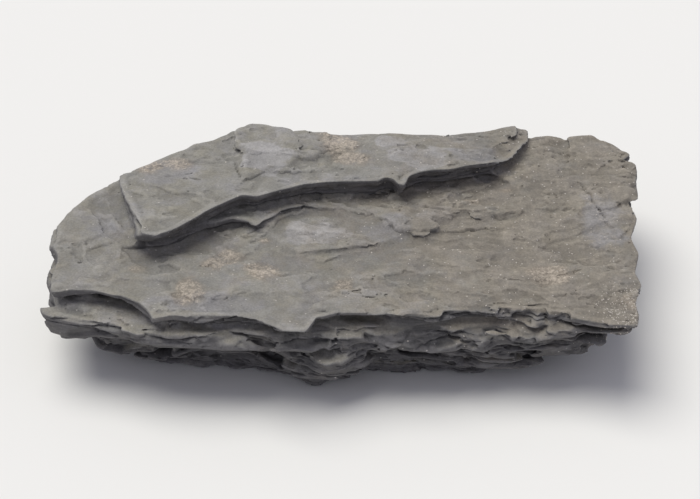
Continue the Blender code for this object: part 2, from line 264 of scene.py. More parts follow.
class LooseSettings(PropertyGroup):
    chips: number("Chips", "Chips on each square centimetre of broken edge", 10.0)
    chip_size: number("Chip size", "Length of a large chip", 1.5 * MM, unit="LENGTH")
    grains: number("Grains", "Mineral grains on each square centimetre of the top", 14.0)
    grain_size: number("Grain size", "Width of a large grain", 0.7 * MM, unit="LENGTH")
    seed: whole_number("Seed", "Seed of the chips and the grains", 5)


class StageSettings(PropertyGroup):
    floor: paint("Floor", "the floor", (0.782, 0.777, 0.745))
    sky: number("Sky", "Strength of the light from all round", 0.46)
    sun: number("Sun", "Strength of the broad light overhead", 2.46)
    spread: number("Spread", "Width of the broad light", math.radians(48), subtype="ANGLE")
    lens: number("Lens", "Focal length", 85.0, unit="CAMERA")
    distance: number("Distance", "From the camera to the stone", 0.448, unit="LENGTH")
    elevation: number(
        "Elevation", "Angle of the view above the floor", math.radians(36), subtype="ANGLE")


# ---- Carving ----


class Carving:
    """The stone as signed distances, in millimetres, on a grid whose upward axis is stretched."""

    def __init__(self, node, cell, stretch, reach=8):
        self.cell = cell
        self.stretch = stretch
        mesh = node.data
        mesh.calc_loop_triangles()
        points = listed(mesh.vertices) / MM * (1, 1, stretch)
        faces = listed(mesh.loop_triangles, "vertices", np.int32)
        self.grid = openvdb.FloatGrid.createLevelSetFromPolygons(
            points=points.astype(np.float32), triangles=faces.astype(np.uint32),
            transform=openvdb.createLinearTransform(voxelSize=cell), halfWidth=reach,
        )
        low, high = self.grid.evalActiveVoxelBoundingBox()
        self.first = low
        self.distance = np.empty([high[i] - low[i] + 1 for i in range(3)], np.float32)
        self.grid.copyToArray(self.distance, ijk=low)
        self.reach = reach * cell
        self.axes = self.x, self.y, self.z = tuple(
            (np.arange(count) + first) * cell / scale
            for count, first, scale in zip(self.distance.shape, low, (1, 1, stretch))
        )
        self.plan = self.x[:, None], self.y[None, :]

    def mesh(self, name):
        """The carved surface, still stretched."""
        grid = openvdb.FloatGrid(self.reach)
        grid.transform = self.grid.transform
        field = np.clip(self.distance, -self.reach, self.reach)
        grid.copyFromArray(field, ijk=self.first, tolerance=0.0)
        points, quads = grid.convertToQuads()
        mesh = bpy.data.meshes.new(name)
        mesh.vertices.add(len(points))
        mesh.vertices.foreach_set("co", np.asarray(points, np.float32).ravel())
        mesh.loops.add(quads.size)
        mesh.loops.foreach_set("vertex_index", np.asarray(quads, np.int32).ravel())
        mesh.polygons.add(len(quads))
        mesh.polygons.foreach_set("loop_start", np.arange(0, quads.size, 4, dtype=np.int32))
        mesh.update(calc_edges=True)
        return mesh

    def sample(self, field, points):
        """A field's values at points in real millimetres, read between the cells."""
        at = points / self.cell * (1, 1, self.stretch) - np.array(self.first)
        at = np.clip(at, 0, np.array(field.shape) - 1.001)
        base = at.astype(np.int32)
        part = at - base
        value = np.zeros(len(points), np.float32)
        for corner in np.ndindex(2, 2, 2):
            weight = np.prod(np.where(corner, part, 1 - part), axis=1)
            value += weight * field[tuple((base + corner).T)]
        return value


def softened(field, radius):
    """The field after a box blur of this many cells each way."""
    for axis in range(3):
        padded = np.concatenate([
            np.repeat(np.take(field, [0], axis), radius + 1, axis), field,
            np.repeat(np.take(field, [-1], axis), radius, axis),
        ], axis)
        total = np.cumsum(padded, axis, dtype=np.float64)
        count = field.shape[axis]
        upper = np.take(total, range(2 * radius + 1, 2 * radius + 1 + count), axis)
        lower = np.take(total, range(0, count), axis)
        field = ((upper - lower) / (2 * radius + 1)).astype(np.float32)
    return field


def steepness(slope):
    return np.sqrt(slope[0] ** 2 + slope[1] ** 2 + slope[2] ** 2 + 1e-9)


def ramp(value, start, end):
    share = np.clip((value - start) / (end - start), 0, 1)
    return share * share * (3 - 2 * share)


class PlanNoise:
    """Random maps over the plan of the stone, in a carving's columns."""

    def __init__(self, carving, seed):
        self.random = np.random.default_rng(seed)
        self.x = carving.x - carving.x[0]
        self.y = carving.y - carving.y[0]

    @staticmethod
    def spline(places, length):
        """Cubic B-spline weights of the knots a length apart, one row for each place."""
        at = places / length
        cell = at.astype(int)
        f = at - cell
        rows = np.zeros((len(places), cell.max() + 4))
        weights = ((1 - f) ** 3, 3 * f**3 - 6 * f**2 + 4, -3 * f**3 + 3 * f**2 + 3 * f + 1, f**3)
        for offset, weight in enumerate(weights):
            rows[np.arange(len(places)), cell + offset] = weight / 6
        return rows

    def smooth(self, length, stretch=1.0):
        """One octave, mostly between -1 and 1; stretch draws it out along X."""
        along = self.spline(self.x, length * stretch)
        across = self.spline(self.y, length)
        knots = self.random.uniform(-2, 2, (along.shape[1], across.shape[1]))
        return (along @ knots @ across.T).astype(np.float32)

    def rough(self, length, octaves, fade=0.5, stretch=1.0):
        total = 0.0
        for octave in range(octaves):
            total = total + fade**octave * self.smooth(length / 2.1**octave, stretch)
        return total

    def scallops(self, length):
        """Rounded bites that meet in sharp cusps, from 0 at a cusp to about 1."""
        return np.abs(self.smooth(length)) * 1.5


def fold_map(carving):
    """How far the beds are lifted at each column, as the solid's beds are."""
    coarse_x = np.arange(carving.x[0], carving.x[-1] + 3, 3.0)
    coarse_y = np.arange(carving.y[0], carving.y[-1] + 3, 3.0)
    lift = np.array([[
        FOLD[0] * noise.noise(Vector((x / FOLD[1], y / FOLD[1], 2.4)))
        + RIPPLE[0] * noise.noise(Vector((x / RIPPLE[1], y / RIPPLE[1], 9.9)))
        for y in coarse_y] for x in coarse_x])
    by_x = np.array([np.interp(carving.x, coarse_x, column) for column in lift.T])
    return np.array([np.interp(carving.y, coarse_y, row) for row in by_x.T], np.float32)


def line_distance(carving, points, wobble):
    """How far each column is from a ragged line through the points, and if it is on its right."""
    x, y = (places + shift for places, shift in zip(carving.plan, wobble))
    nearest = np.full(x.shape, 1e3, np.float32)
    right = np.zeros(x.shape, bool)
    for (ax, ay), (bx, by) in zip(points, points[1:]):
        run = np.array((bx - ax, by - ay))
        share = np.clip(((x - ax) * run[0] + (y - ay) * run[1]) / (run @ run), 0, 1)
        away = np.hypot(x - ax - share * run[0], y - ay - share * run[1])
        right = np.where(away < nearest, (x - ax) * run[1] - (y - ay) * run[0] > 0, right)
        nearest = np.minimum(nearest, away)
    return nearest, right


def grit_block(random, passes, size=96):
    """A block of random roughness that repeats seamlessly, about -2 to 2."""
    block = random.standard_normal((size, size, size)).astype(np.float32)
    for _ in range(passes):
        for axis in range(3):
            block = (block + np.roll(block, 1, axis) + np.roll(block, -1, axis)) / 3
    return block / block.std()


def repeated(block, cells):
    return block[tuple(axis % block.shape[0] for axis in cells)]


def facets(random, points, size):
    """How far each point is off the nearest facet, in a fill of random flat ones."""
    middles = random.uniform(0, 1, (16, 16, 16, 3)).astype(np.float32)
    tilts = random.uniform(-1, 1, (16, 16, 16, 3)).astype(np.float32)
    at = (points / size).astype(np.float32)
    base = np.floor(at - 0.5).astype(np.int32)
    nearest = np.full(len(at), 9.0, np.float32)
    height = np.zeros(len(at), np.float32)
    for corner in np.ndindex(2, 2, 2):
        cell = base + np.array(corner, np.int32)
        key = tuple((cell % 16).T)
        away = at - cell - middles[key]
        distance = (away**2).sum(1)
        nearer = distance < nearest
        height = np.where(nearer, (away * tilts[key]).sum(1), height)
        nearest = np.minimum(nearest, distance)
    return height


def top_map(carving):
    """The height of the stone's upper face in each column or in a near neighbour."""
    solid = carving.distance < 0
    last = solid.shape[2] - 1 - solid[:, :, ::-1].argmax(2)
    height = np.where(solid.any(2), carving.z[last], carving.z[0])
    for axis in (0, 1):
        height = np.max([np.roll(height, shift, axis) for shift in range(-2, 3)], 0)
    return height.astype(np.float32)


def lowered(field, cells):
    """The field's values this many cells further down."""
    return np.concatenate([np.repeat(field[:, :, :1], cells, 2), field[:, :, :-cells]], 2)


def direction(turn, tilt):
    level = math.cos(tilt)
    return np.array((math.cos(turn) * level, math.sin(turn) * level, math.sin(tilt)))


def spall(carving, middle, halves, turn, ragged, face=None, added=False):
    """Bites a spoon-shaped scoop out of the stone, or one with a flat face, or adds a flake."""
    reach = max(halves) * 1.1
    places = [
        np.nonzero(np.abs(axis - centre) < reach)[0] for axis, centre in zip(carving.axes, middle)
    ]
    if min(map(len, places)) == 0:
        return
    block = tuple(slice(place[0], place[-1] + 1) for place in places)
    x = carving.x[block[0]][:, None, None] - middle[0]
    y = carving.y[block[1]][None, :, None] - middle[1]
    z = carving.z[block[2]][None, None, :] - middle[2]
    along = x * math.cos(turn) + y * math.sin(turn)
    across = y * math.cos(turn) - x * math.sin(turn)
    size = np.sqrt((along / halves[0]) ** 2 + (across / halves[1]) ** 2 + (z / halves[2]) ** 2)
    size += ragged[block[:2]][:, :, None]
    bite = (1 - size) * min(halves[1], halves[2] * carving.stretch)
    if face is not None:
        bite = np.minimum(bite, x * face[0] + y * face[1] + z * face[2] + face[3])
    bite = bite.astype(np.float32)
    there = carving.distance[block]
    if added:
        np.minimum(there, -bite, out=there)
    else:
        np.maximum(there, bite, out=there)


def break_edges(carving, plan, count):
    """Flat breaks at random round the broken edges, drawn out along them."""
    slope = np.gradient(carving.distance)
    walls = np.nonzero(
        (np.abs(carving.distance) < carving.cell) & (np.abs(slope[2]) < 0.5 * carving.cell)
        & ((carving.z > BREAK_LOW) & (carving.z < BREAK_HIGH))[None, None, :]
    )
    ragged = 0.05 * plan.rough(4, 3, 0.6)
    for pick in plan.random.choice(len(walls[0]), count, replace=False):
        cell = tuple(axis[pick] for axis in walls)
        facing = math.atan2(slope[1][cell], slope[0][cell])
        place = np.array([axis[at] for axis, at in zip(carving.axes, cell)])
        long, deep, high = BREAK_LARGEST * plan.random.uniform((0.4, 0.2, 0.15), (1.0, 0.5, 0.55))
        out = direction(facing, 0)
        stand = 0.45 * deep
        face = direction(facing + plan.random.uniform(-0.3, 0.3), plan.random.uniform(-0.1, 0.8))
        offset = (stand + plan.random.uniform(0.1, 0.9)) * (out @ face)
        spall(carving, place + stand * out, (long, deep, high), facing + math.pi / 2, ragged,
              (*face, offset))


class Layering:
    """A stack of layers with uneven partings: which one each cell is in, and how near its faces."""

    def __init__(self, plan, carving, thickness, sag, length, height, column):
        floor, top = carving.z[0], carving.z[-1]
        count = int((top - floor) / thickness) + 2
        steps = plan.random.uniform(0.45, 1.55, count) * thickness
        partings = [
            level + sag * thickness * (plan.smooth(length) + 0.4 * plan.smooth(length / 3))
            for level in floor + np.cumsum(steps)
        ]
        which = np.zeros(len(height), np.int32)
        below = np.full(len(height), 9.0, np.float32)
        above = np.full(len(height), 9.0, np.float32)
        for parting in partings:
            gap = height - parting[column].astype(np.float32)
            over = gap > 0
            which += over
            np.minimum(below, np.where(over, gap, 9), out=below)
            np.minimum(above, np.where(over, 9, -gap), out=above)
        self.count = count + 1
        self.cells = (which, *column)
        self.share = below / (below + above)
        self.parting = np.minimum(below, above)

    def spread(self, make):
        """Makes a random map for each layer, and reads at each cell that of its own layer."""
        return np.array([make() for _ in range(self.count)], np.float32)[self.cells]

    def groove(self, width):
        """How near each cell is to a parting, from 0 to 1."""
        return np.exp(-((self.parting / width) ** 2))


def grow(carving):
    """Lets the ends and the back right corner out a little."""
    x, y = carving.plan
    ends = ramp(np.abs(x), *END_RANGE) * np.where(x < 0, LEFT_GROWTH, RIGHT_GROWTH)
    corner = CORNER_GROWTH * ramp(x + y, *CORNER_RANGE)
    carving.distance -= (ends + corner)[:, :, None]


def break_off(carving, plan, count):
    """The hollows, flakes and flat breaks of the tables, and then the random ones."""
    ragged = 0.06 * plan.rough(5, 4, 0.6)
    for table, added in ((SPALLS, False), (FLAKES, True)):
        for middle, halves, turn in table:
            spall(carving, middle, halves, math.radians(turn), ragged, added=added)
    for middle, (along, up), turn, tilt in FLAT_BREAKS:
        turn, tilt = math.radians(turn), math.radians(tilt)
        face = (*direction(turn, tilt), 0)
        spall(carving, middle, (along, along, up), turn + math.pi / 2, ragged, face)
    break_edges(carving, plan, count)


def layered(carving, plan, settings, height, column):
    """How far the beds and the laminae set each cell in from a broken edge."""
    beds = Layering(plan, carving, settings.bed, 0.45, 30, height, column)
    chunk = plan.rough(20, 3)

    def bed_map():
        nonlocal chunk
        chunk = 0.6 * chunk + 0.5 * plan.rough(20, 3)
        return (
            0.8 * plan.scallops(15) + 0.55 * plan.scallops(8) + 0.12 * plan.scallops(4)
            + 0.06 * plan.rough(3.0, 2, 0.6) + 0.35 * chunk - 0.85
        )

    inset = settings.relief * beds.spread(bed_map)
    tucked = beds.spread(lambda: ramp(plan.rough(18, 2), -0.75, 0.5))
    inset += settings.undercut * tucked * (beds.share**0.8 - 0.35)
    splitting = beds.spread(lambda: ramp(plan.rough(15, 2), -0.35, 0.45))

    laminae = Layering(plan, carving, settings.lamina, 0.4, 14, height, column)
    fine = laminae.spread(lambda: 0.3 * plan.rough(9, 3, 0.5) + 0.16 * plan.scallops(5) - 0.1)
    inset += (0.2 + 0.8 * splitting) * (fine + 0.3 * (laminae.share - 0.5))
    inset += 0.5 * splitting * laminae.groove(0.13)
    inset += 0.8 * tucked * beds.groove(0.25)
    return inset


def faceted(carving, seed, near, flat):
    """How far the facets of the broken edges set each cell in or out."""
    facet = np.zeros(len(flat), np.float32)
    steep = np.nonzero(flat < 1)[0]
    places = np.stack([axis[at[steep]] for axis, at in zip(carving.axes, near)], 1)
    chipping = np.random.default_rng(seed)
    for size, stand in FACETS:
        facet[steep] += stand * facets(chipping, places, size)
    return facet


def top_relief(carving, plan, flaking):
    """How deep the scars, swellings, cracks and sheet edges of the top are in each column."""
    scars = np.zeros(carving.distance.shape[:2], np.float32)
    for length, level in SCARS:
        away = plan.rough(length, 5, 0.5, 1.7) - level
        scars += ramp(away, 0.0, 0.05) * plan.random.uniform(0.5, 1.0)
    right = ramp(carving.plan[0] + 0.25 * carving.plan[1], -8, 40)
    swell = 0.35 * plan.smooth(16) + 0.3 * plan.rough(4, 3, 0.6) + 0.14 * plan.rough(1.6, 2, 0.7)
    swell += (0.06 + 0.34 * right) * plan.rough(1.3, 2, 0.8, 2.2)
    lines = np.zeros(scars.shape, np.float32)
    for drop, width, points in CRACKS:
        away, _ = line_distance(carving, points, (0.9 * plan.rough(5, 3), 0.9 * plan.rough(5, 3)))
        lines += drop * np.exp(-((away / width) ** 2))
    for drop, fade, points in SHEET_EDGES:
        away, below = line_distance(carving, points, (plan.rough(5, 4), plan.rough(5, 4)))
        lines += drop * np.where(below, np.exp(-away / fade), 0)
    return flaking * scars + 0.5 * (swell + 0.5) + lines


def carve(carving, settings):
    """Cuts beds, laminae, flake scars and cracks into the stone, all from its surface inwards."""
    plan = PlanNoise(carving, settings.seed)
    grow(carving)
    tops = top_map(carving)
    rim = np.minimum(
        carving.distance, np.minimum(lowered(carving.distance, 5), lowered(carving.distance, 9)))
    break_off(carving, plan, settings.spalls)

    slope = np.gradient(softened(carving.distance, 1))
    near = np.nonzero(np.abs(carving.distance) < carving.reach * 0.97)
    column = near[:2]
    facing = (slope[2] / steepness(slope))[near]
    upward = ramp(facing, 0.25, 0.6)
    flat = ramp(np.abs(facing), 0.72, 0.95)
    del slope

    share = np.clip((carving.z - FLAT_BELOW) / (FOLDED_ABOVE - FLAT_BELOW), 0, 1)
    height = (carving.z[near[2]] - share[near[2]] * fold_map(carving)[column]).astype(np.float32)
    inset = layered(carving, plan, settings, height, column)
    facet = faceted(carving, settings.seed + 1, near, flat)

    # A thin lip stays under every top edge, over a deeper recess.
    depth = tops[column] - carving.z[near[2]]
    lip = settings.lip * (1 + 0.5 * plan.rough(9, 3))[column]
    over = 1 - ramp(depth, 0.7 * lip, 1.3 * lip)
    edge = 0.6 + (0.25 * plan.rough(7, 4, 0.6) + 0.2 * plan.scallops(3.5))[column]
    inset = (1 - over) * (inset + facet + 0.2) + over * np.minimum(inset + 0.3 * facet, edge)

    # Grit roughens it all, most of all at the crumbly corner. The cap stays firmer.
    grit = repeated(grit_block(plan.random, 1), near) + 0.8 * repeated(
        grit_block(plan.random, 6), near)
    away = np.hypot(*(places - at for places, at in zip(carving.plan, CRUMBLY)))
    crumbly = 1 + 3.5 * (1 - ramp(away, 4, 12))
    firm = (1 - 0.5 * ramp(carving.z, *CAP_HEIGHTS))[near[2]]
    inset = np.maximum(inset * firm, -0.15) + settings.grit * grit * crumbly[column]

    # The underside stays nearly uncarved, so that the stone rests where its solid does.
    wall = inset * (1 - 0.8 * flat)
    wall *= 1 - ramp(-facing, 0.4, 0.8) * (1 - ramp(carving.z, 0.3, 2.0)[near[2]])
    surface = top_relief(carving, plan, settings.flaking)
    wall += carving.stretch * surface[column] * upward

    cut = np.clip(wall, -0.15, carving.reach * 0.8)
    crisp = rim[near] + np.clip(inset, 0.6 * firm, carving.reach * 0.7)
    carving.distance[near] = np.maximum(carving.distance[near] + cut, crisp)

    # Thin tips are taken off.
    carving.distance = np.maximum(carving.distance, softened(carving.distance, 2) - 0.3)
    keep_inside(carving)
    carving.laid = np.zeros(carving.distance.shape, np.float32)
    carving.laid[near] = height


def keep_inside(carving):
    """Clips the carving to the solid's own box, less a strip at the left end."""
    low, high = (np.array(corner) / MM for corner in (LOW, HIGH))
    low[0] += LEFT_TRIM
    for axis, places in enumerate(carving.axes):
        scale = carving.stretch if axis == 2 else 1.0
        outside = np.maximum(low[axis] - places, places - high[axis]) * scale
        shape = [1, 1, 1]
        shape[axis] = -1
        outside = outside.reshape(shape).astype(np.float32)
        np.maximum(carving.distance, outside, out=carving.distance)


# ---- Meshes ----


def listed(items, name="co", kind=np.float32, width=3):
    """What all the items of a mesh have under this name, one row for each."""
    values = np.empty(len(items) * width, kind)
    items.foreach_get(name, values)
    return values.reshape(-1, width)


def set_coordinates(mesh, points):
    """Gives the mesh these points, kept inside the solid's box."""
    points = np.clip(points, np.array(LOW), np.array(HIGH))
    mesh.vertices.foreach_set("co", points.astype(np.float32).ravel())
    mesh.update()


def modelled(mesh, name):
    piece = bpy.data.objects.new(name, mesh)
    bpy.context.scene.collection.objects.link(piece)
    return piece


def flattened(piece):
    """The piece as its modifiers make it, as a plain mesh in the same object."""
    bpy.context.view_layer.update()
    evaluated = piece.evaluated_get(bpy.context.evaluated_depsgraph_get())
    mesh = bpy.data.meshes.new_from_object(evaluated)
    piece.modifiers.clear()
    piece.data = mesh
    mesh.name = piece.name
    return piece


def thinned(piece, triangles):
    piece.data.calc_loop_triangles()
    fewer = piece.modifiers.new("Fewer faces", "DECIMATE")
    fewer.ratio = min(1.0, triangles / len(piece.data.loop_triangles))
    fewer.use_collapse_triangulate = True
    return flattened(piece)


def largest_part(mesh):
    """Removes crumbs that the carving cut loose, so that the stone is one closed skin."""
    first, second = listed(mesh.edges, "vertices", np.int32, 2).T
    part = np.arange(len(mesh.vertices))
    while True:
        lowest = part.copy()
        np.minimum.at(lowest, first, part[second])
        np.minimum.at(lowest, second, part[first])
        lowest = lowest[lowest]
        if (lowest == part).all():
            break
        part = lowest
    main = np.bincount(part).argmax()
    work = bmesh.new()
    work.from_mesh(mesh)
    loose = [vertex for vertex, own in zip(work.verts, part) if own != main]
    bmesh.ops.delete(work, geom=loose, context="VERTS")
    work.to_mesh(mesh)
    work.free()


def blots(points, patches, ragged):
    """How far each point is inside soft, ragged patches, from 0 to 1."""
    inside = np.zeros(len(points), np.float32)
    for (x, y), half_length, half_width in patches:
        away = np.hypot((points[:, 0] - x) / half_length, (points[:, 1] - y) / half_width)
        inside = np.maximum(inside, 1 - ramp(away + ragged, 0.25, 1.3))
    return inside


def finish_piece(piece):
    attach(piece, BODY)


# ---- Materials ----


class Tree:
    """Adds nodes to a tree in few words."""

    def __init__(self, tree):
        self.tree = tree

    def node(self, kind, inputs=(), **settings):
        node = self.tree.nodes.new(kind)
        for name, value in settings.items():
            setattr(node, name, value)
        for socket, value in dict(inputs).items():
            self.feed(node.inputs[socket], value)
        return node

    def feed(self, socket, value):
        if isinstance(value, bpy.types.NodeSocket):
            self.tree.links.new(value, socket)
        else:
            socket.default_value = value

    def math(self, operation, *values):
        return self.node("ShaderNodeMath", enumerate(values), operation=operation).outputs[0]

    def times(self, first, second):
        return self.math("MULTIPLY", first, second)

    def plus(self, first, second):
        return self.math("ADD", first, second)

    def vector(self, operation, first, second):
        return self.node(
            "ShaderNodeVectorMath", ((0, first), (1, second)), operation=operation).outputs[0]

    def parts(self, x, y, z):
        return self.node("ShaderNodeCombineXYZ", ((0, x), (1, y), (2, z))).outputs[0]

    def map_range(self, value, start, end, low=0.0, high=1.0):
        return self.node(
            "ShaderNodeMapRange", (("Value", value), ("From Min", start), ("From Max", end),
                                   ("To Min", low), ("To Max", high)),
            interpolation_type="SMOOTHSTEP",
        ).outputs[0]

    def mix(self, share, first, second, blend="MIX"):
        return self.node(
            "ShaderNodeMix", ((0, share), (6, first), (7, second)),
            data_type="RGBA", blend_type=blend, clamp_factor=True,
        ).outputs[2]

    def noise(self, vector, scale, detail=3.0, rough=0.55):
        return self.node("ShaderNodeTexNoise", (
            ("Vector", vector), ("Scale", scale), ("Detail", detail), ("Roughness", rough))
        ).outputs["Fac"]

    def cells(self, vector, scale):
        return self.node("ShaderNodeTexVoronoi", (("Vector", vector), ("Scale", scale))).outputs


def opening(tree, name, kind="Float", way="INPUT"):
    return tree.interface.new_socket(name, in_out=way, socket_type="NodeSocket" + kind)


def group(name, numbers, outputs):
    """A shader node group that takes a Vector and the named numbers, and puts out numbers."""
    tree = bpy.data.node_groups.new(name, "ShaderNodeTree")
    opening(tree, "Vector", "Vector")
    for socket, default in numbers.items():
        opening(tree, socket).default_value = default
    for socket in outputs:
        opening(tree, socket, way="OUTPUT")
    made = Tree(tree)
    return made, made.node("NodeGroupInput").outputs, made.node("NodeGroupOutput").inputs


def grain_group():
    """Mottled mineral grain: a tone about 0.5 and a height."""
    t, given, out = group("shale_grain", {"Size": 0.6}, ("Tone", "Height"))
    vector = t.vector("DIVIDE", given["Vector"], given["Size"])
    fine = t.noise(vector, 1.0, 4.0, 0.65)
    broad = t.noise(vector, 0.13, 3.0)
    pits = t.cells(vector, 0.6)["Distance"]
    lumps = t.noise(vector, 0.33, 3.0, 0.6)
    t.feed(out["Tone"], t.plus(t.times(fine, 0.6), t.times(broad, 0.4)))
    t.feed(out["Height"], t.plus(t.plus(fine, t.times(pits, 0.35)), t.times(lumps, 1.4)))
    return t.tree


def streak_group():
    """Fine stripes that follow the beds on a broken edge."""
    t, given, out = group(
        "shale_streaks", {"Bed Height": 0.0, "Spacing": 0.5}, ("Tone", "Height"))
    x, y, _ = t.node("ShaderNodeSeparateXYZ", ((0, given["Vector"]),)).outputs
    along = t.parts(
        t.times(x, 0.07), t.times(y, 0.07), t.math("DIVIDE", given["Bed Height"], given["Spacing"]))
    fine = t.noise(along, 1.0, 4.0, 0.6)
    broad = t.noise(along, 0.22, 2.0)
    t.feed(out["Tone"], t.plus(t.times(fine, 0.5), t.times(broad, 0.5)))
    t.feed(out["Height"], fine)
    return t.tree


def patch_group():
    """Breaks a soft mask up into ragged speckled patches."""
    t, given, out = group("shale_patches", {"Mask": 0.0, "Size": 3.0, "Edge": 0.15}, ("Mask",))
    cover = t.noise(t.vector("DIVIDE", given["Vector"], given["Size"]), 1.0, 6.0, 0.7)
    level = t.map_range(t.math("SUBTRACT", 1.0, given["Mask"]), 0.0, 1.0, 0.28, 0.80)
    t.feed(out["Mask"], t.map_range(
        cover, t.math("SUBTRACT", level, given["Edge"]), t.plus(level, given["Edge"])))
    return t.tree


def speck_group():
    """Scattered specks, one at most in each cell."""
    t, given, out = group(
        "shale_specks", {"Spacing": 1.5, "Size": 0.2, "Share": 0.3}, ("Mask",))
    vector = t.vector("DIVIDE", given["Vector"], given["Spacing"])
    cells = t.cells(vector, 1.0)
    chosen = t.node("ShaderNodeSeparateColor", ((0, cells["Color"]),)).outputs[0]
    ragged = t.times(t.noise(vector, 6.0, 1.0), 0.2)
    near = t.map_range(
        t.plus(cells["Distance"], ragged), given["Size"], t.plus(given["Size"], 0.12), 1.0, 0.0)
    t.feed(out["Mask"], t.times(t.math("LESS_THAN", chosen, given["Share"]), near))
    return t.tree


def placed(t, tree, **inputs):
    node = t.node("ShaderNodeGroup")
    node.node_tree = tree
    for name, value in inputs.items():
        t.feed(node.inputs[name.replace("_", " ")], value)
    return node.outputs


def shale_material(colours, groups, kind):
    """The finish of the stone and its chips, or the pale one of the grains."""
    material = bpy.data.materials.new(kind)
    material.use_nodes = True
    shader = material.node_tree.nodes["Principled BSDF"]
    t = Tree(material.node_tree)
    place = t.node("ShaderNodeTexCoord").outputs["Object"]
    vector = t.vector("MULTIPLY", place, (1 / MM,) * 3)
    grain = placed(t, groups["grain"], Vector=vector, Size=0.55)

    def tint(colour):
        return (*colour, 1)

    if kind == "shale_grains":
        colour = t.mix(grain["Tone"], tint(colours.grain), tint(colours.ochre))
        t.feed(shader.inputs["Base Color"], colour)
        shader.inputs["Roughness"].default_value = 0.35
        return material

    wall, hollow, laid, dusty, stain, pale, cool, gritty = (
        t.node("ShaderNodeAttribute", attribute_name=name).outputs["Fac"]
        for name in ("wall", "hollow", "laid", "dust", "ochre", "pale", "cool", "gritty")
    )
    top = t.math("SUBTRACT", 1.0, wall)
    streaks = placed(t, groups["streaks"], Vector=vector, Bed_Height=laid, Spacing=0.42)
    # Steep and downward walls take the fresh-break colour: partly the real darker colour of a fresh
    # break, partly painted shade.
    colour = t.mix(wall, tint(colours.stone), tint(colours.fresh_break_and_shade))

    # Skins of other colours lie over it in ragged patches: mask, size, edge, share.
    for mask, size, edge, share, over in (
        (t.times(top, 0.5), 13.0, 0.2, 0.85, colours.olive),
        (t.times(top, 0.45), 7.5, 0.16, 0.75, colours.slate),
        (pale, 9.0, 0.12, 0.8, colours.pale),
        (dusty, 7.0, 0.25, 0.7, colours.dust),
        (cool, 8.0, 0.2, 0.7, colours.slate),
        (t.times(dusty, 0.45), 1.4, 0.12, 0.35, colours.ochre),
        (t.times(stain, 0.85), 5.0, 0.3, 0.55, colours.rust),
        (t.times(stain, 0.55), 1.1, 0.12, 0.75, colours.ochre),
    ):
        patches = placed(t, groups["patches"], Vector=vector, Mask=mask, Size=size, Edge=edge)
        colour = t.mix(t.times(patches["Mask"], share), colour, tint(over))

    # Grain, bed lines and broad mottling change its tone. Painted shade darkens the recesses and a
    # painted highlight lightens the convex rims, most of all on the walls.
    line = t.times(wall, t.map_range(streaks["Tone"], 0.3, 0.7, 0.22, -0.22))
    tone = t.plus(t.map_range(grain["Tone"], 0.3, 0.7, 0.75, 1.25), line)
    broad = t.map_range(t.noise(vector, 0.07, 4.0, 0.6), 0.3, 0.7, 0.90, 1.10)
    depth = t.map_range(hollow, -0.8, 0.8, -0.46, 0.30)
    depth = t.times(depth, t.plus(0.45, t.times(wall, 0.8)))
    tone = t.times(tone, t.times(broad, t.plus(depth, 1.0)))
    grey = t.node("ShaderNodeCombineColor", ((0, tone), (1, tone), (2, tone))).outputs[0]
    colour = t.mix(1.0, colour, grey, "MULTIPLY")

    # Specks dot it: how far they are drawn out along X, spacing, size, share, strength.
    few = t.map_range(gritty, 0.0, 1.0, 0.2, 0.5)
    many = t.map_range(gritty, 0.0, 1.0, 0.2, 0.8)
    for stretch, spacing, size, share, strength, over in (
        (0.4, 0.9, 0.10, few, 0.5, colours.dark),
        (1.0, 1.25, 0.12, few, 0.6, colours.dark),
        (0.9, 1.7, 0.13, many, 0.75, colours.grain),
    ):
        drawn = t.vector("MULTIPLY", vector, (stretch, 1.0, 1.0))
        dots = placed(
            t, groups["specks"], Vector=drawn, Spacing=spacing, Size=size, Share=share)
        colour = t.mix(t.times(dots["Mask"], strength), colour, tint(over))
    t.feed(shader.inputs["Base Color"], colour)
    t.feed(shader.inputs["Roughness"], t.map_range(grain["Tone"], 0.3, 0.7, 0.74, 0.92))
    height = t.plus(
        t.times(grain["Height"], t.map_range(gritty, 0.0, 1.0, 0.45, 1.0)),
        t.times(t.times(wall, streaks["Height"]), 1.1))
    bump = t.node("ShaderNodeBump", (
        ("Height", height), ("Strength", 0.8), ("Distance", 0.22 * MM)))
    t.feed(shader.inputs["Normal"], bump.outputs[0])
    return material


def finishes():
    """The stone's materials, made once."""
    if "shale_stone" not in bpy.data.materials:
        colours = bpy.context.scene.shale_colours
        groups = {
            "grain": grain_group(), "streaks": streak_group(),
            "patches": patch_group(), "specks": speck_group(),
        }
        for kind in ("shale_stone", "shale_grains"):
            shale_material(colours, groups, kind)
    return bpy.data.materials


# ---- Scattered pieces ----


